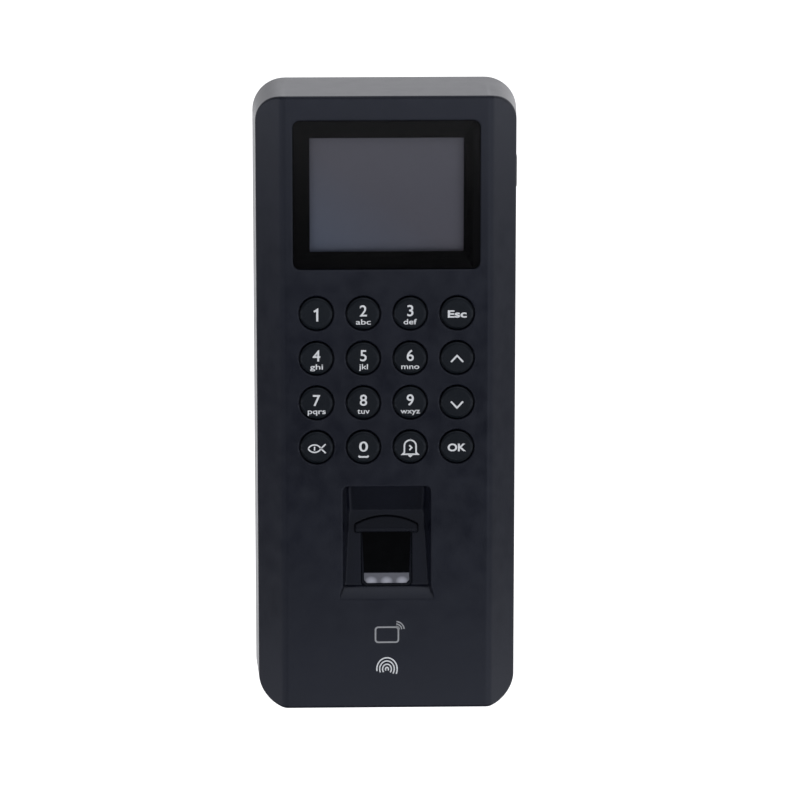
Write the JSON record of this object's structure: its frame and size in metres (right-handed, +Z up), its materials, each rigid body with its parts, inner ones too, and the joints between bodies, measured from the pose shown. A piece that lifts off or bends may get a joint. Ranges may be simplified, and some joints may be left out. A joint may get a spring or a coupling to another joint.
{
  "type": "fingerprint scanner terminal",
  "caption": "Wall-mounted fingerprint, card and keypad terminal with a display, round press keys, a recessed finger pocket and a rear wall bracket.",
  "frame": {"origin": "on the wall plane (back face of the wall bracket), behind the middle of the case", "axes": "+Z up along the case's length, the terminal faces -Y, +Y points into the wall, +X is the right side seen from the front"},
  "size_m": [0.086, 0.0321, 0.2062],
  "materials": {
    "bezel_plastic": "fine satin texture",
    "board_green": "solder mask",
    "bracket_steel": "zinc plated",
    "camera_plastic": "moulded",
    "case_plastic": "fine satin texture",
    "cell_steel": "polished",
    "chip_black": "moulded epoxy",
    "contact_gold": "plated",
    "cover_plastic": "moulded texture",
    "diffuser_plastic": "frosted diffuser",
    "display_glass": "polarised display glass",
    "flex_film": "polyimide film",
    "foam_black": "foam",
    "header_plastic": "moulded nylon",
    "holder_plastic": "moulded",
    "key_plastic": "satin",
    "lens_glass": "polished",
    "light_guide": "clear light guide with white film",
    "lock_steel": "blackened",
    "mask_ink": "printed ink",
    "mat_silicone": "silicone",
    "plunger_rubber": "matt",
    "port_steel": "tinned",
    "prism_glass": "polished",
    "relay_plastic": "moulded",
    "screw_steel": "zinc plated",
    "seal_rubber": "matt",
    "sensor_glass": "dark optical glass",
    "tray_steel": "tinned"
  },
  "bodies": {
    "terminal": {"front_shell": "case_plastic", "rear_cover": "cover_plastic", "rear_seal": "seal_rubber", "wall_bracket": "bracket_steel", "case_screws": "screw_steel", "lock_screw": "lock_steel", "display_lens": "lens_glass", "lens_mask": "mask_ink", "lcd_gasket": "foam_black", "lcd_panel": "display_glass", "lcd_backlight": "light_guide", "lcd_frame": "tray_steel", "lcd_holder": "holder_plastic", "lcd_flex": "flex_film", "keypad_mat": "mat_silicone", "keypad_board": "board_green", "key_contacts": "contact_gold", "keypad_screws": "screw_steel", "keypad_flex": "flex_film", "sensor_bezel": "bezel_plastic", "sensor_window": "sensor_glass", "led_light_bar": "diffuser_plastic", "sensor_prism": "prism_glass", "sensor_housing": "holder_plastic", "sensor_board": "board_green", "sensor_camera": "camera_plastic", "sensor_screws": "screw_steel", "sensor_flex": "flex_film", "antenna_board": "board_green", "antenna_coil": "contact_gold", "main_board": "board_green", "processor": "chip_black", "shield_can": "tray_steel", "board_components": "chip_black", "relay": "relay_plastic", "buzzer": "chip_black", "battery_holder": "chip_black", "backup_battery": "cell_steel", "wire_headers": "header_plastic", "tamper_switch": "chip_black", "usb_port": "port_steel", "board_screws": "screw_steel"},
    "port_cover": {"side_port_cover": "seal_rubber"},
    "tamper_button": {"tamper_plunger": "plunger_rubber"},
    "keycap_1": {"key_1": "key_plastic"},
    "keycap_2": {"key_2": "key_plastic"},
    "keycap_3": {"key_3": "key_plastic"},
    "keycap_esc": {"key_esc": "key_plastic"},
    "keycap_4": {"key_4": "key_plastic"},
    "keycap_5": {"key_5": "key_plastic"},
    "keycap_6": {"key_6": "key_plastic"},
    "keycap_up": {"key_up": "key_plastic"},
    "keycap_7": {"key_7": "key_plastic"},
    "keycap_8": {"key_8": "key_plastic"},
    "keycap_9": {"key_9": "key_plastic"},
    "keycap_down": {"key_down": "key_plastic"},
    "keycap_clear": {"key_clear": "key_plastic"},
    "keycap_0": {"key_0": "key_plastic"},
    "keycap_bell": {"key_bell": "key_plastic"},
    "keycap_ok": {"key_ok": "key_plastic"}
  },
  "joints": [
    {"name": "key_1_press", "type": "slide", "parent": "terminal", "child": "keycap_1", "axis": [0, 1, 0], "range_m": [0, 0.0008], "stiffness_N_per_m": 450, "springref_m": -0.0018, "deforming": ["keypad_mat"]},
    {"name": "key_2_press", "type": "slide", "parent": "terminal", "child": "keycap_2", "axis": [0, 1, 0], "range_m": [0, 0.0008], "stiffness_N_per_m": 450, "springref_m": -0.0018, "deforming": ["keypad_mat"]},
    {"name": "key_3_press", "type": "slide", "parent": "terminal", "child": "keycap_3", "axis": [0, 1, 0], "range_m": [0, 0.0008], "stiffness_N_per_m": 450, "springref_m": -0.0018, "deforming": ["keypad_mat"]},
    {"name": "key_esc_press", "type": "slide", "parent": "terminal", "child": "keycap_esc", "axis": [0, 1, 0], "range_m": [0, 0.0008], "stiffness_N_per_m": 450, "springref_m": -0.0018, "deforming": ["keypad_mat"]},
    {"name": "key_4_press", "type": "slide", "parent": "terminal", "child": "keycap_4", "axis": [0, 1, 0], "range_m": [0, 0.0008], "stiffness_N_per_m": 450, "springref_m": -0.0018, "deforming": ["keypad_mat"]},
    {"name": "key_5_press", "type": "slide", "parent": "terminal", "child": "keycap_5", "axis": [0, 1, 0], "range_m": [0, 0.0008], "stiffness_N_per_m": 450, "springref_m": -0.0018, "deforming": ["keypad_mat"]},
    {"name": "key_6_press", "type": "slide", "parent": "terminal", "child": "keycap_6", "axis": [0, 1, 0], "range_m": [0, 0.0008], "stiffness_N_per_m": 450, "springref_m": -0.0018, "deforming": ["keypad_mat"]},
    {"name": "key_up_press", "type": "slide", "parent": "terminal", "child": "keycap_up", "axis": [0, 1, 0], "range_m": [0, 0.0008], "stiffness_N_per_m": 450, "springref_m": -0.0018, "deforming": ["keypad_mat"]},
    {"name": "key_7_press", "type": "slide", "parent": "terminal", "child": "keycap_7", "axis": [0, 1, 0], "range_m": [0, 0.0008], "stiffness_N_per_m": 450, "springref_m": -0.0018, "deforming": ["keypad_mat"]},
    {"name": "key_8_press", "type": "slide", "parent": "terminal", "child": "keycap_8", "axis": [0, 1, 0], "range_m": [0, 0.0008], "stiffness_N_per_m": 450, "springref_m": -0.0018, "deforming": ["keypad_mat"]},
    {"name": "key_9_press", "type": "slide", "parent": "terminal", "child": "keycap_9", "axis": [0, 1, 0], "range_m": [0, 0.0008], "stiffness_N_per_m": 450, "springref_m": -0.0018, "deforming": ["keypad_mat"]},
    {"name": "key_down_press", "type": "slide", "parent": "terminal", "child": "keycap_down", "axis": [0, 1, 0], "range_m": [0, 0.0008], "stiffness_N_per_m": 450, "springref_m": -0.0018, "deforming": ["keypad_mat"]},
    {"name": "key_clear_press", "type": "slide", "parent": "terminal", "child": "keycap_clear", "axis": [0, 1, 0], "range_m": [0, 0.0008], "stiffness_N_per_m": 450, "springref_m": -0.0018, "deforming": ["keypad_mat"]},
    {"name": "key_0_press", "type": "slide", "parent": "terminal", "child": "keycap_0", "axis": [0, 1, 0], "range_m": [0, 0.0008], "stiffness_N_per_m": 450, "springref_m": -0.0018, "deforming": ["keypad_mat"]},
    {"name": "key_bell_press", "type": "slide", "parent": "terminal", "child": "keycap_bell", "axis": [0, 1, 0], "range_m": [0, 0.0008], "stiffness_N_per_m": 450, "springref_m": -0.0018, "deforming": ["keypad_mat"]},
    {"name": "key_ok_press", "type": "slide", "parent": "terminal", "child": "keycap_ok", "axis": [0, 1, 0], "range_m": [0, 0.0008], "stiffness_N_per_m": 450, "springref_m": -0.0018, "deforming": ["keypad_mat"]},
    {"name": "port_cover_hinge", "type": "hinge", "parent": "terminal", "child": "port_cover", "pos_m": [0.04282, -0.0111, 0.07925], "axis": [0, -1, 0], "range_deg": [0, 115]},
    {"name": "tamper_press", "type": "slide", "parent": "terminal", "child": "tamper_button", "axis": [0, -1, 0], "range_m": [0, 0.0012], "stiffness_N_per_m": 200, "springref_m": -0.001}
  ]
}
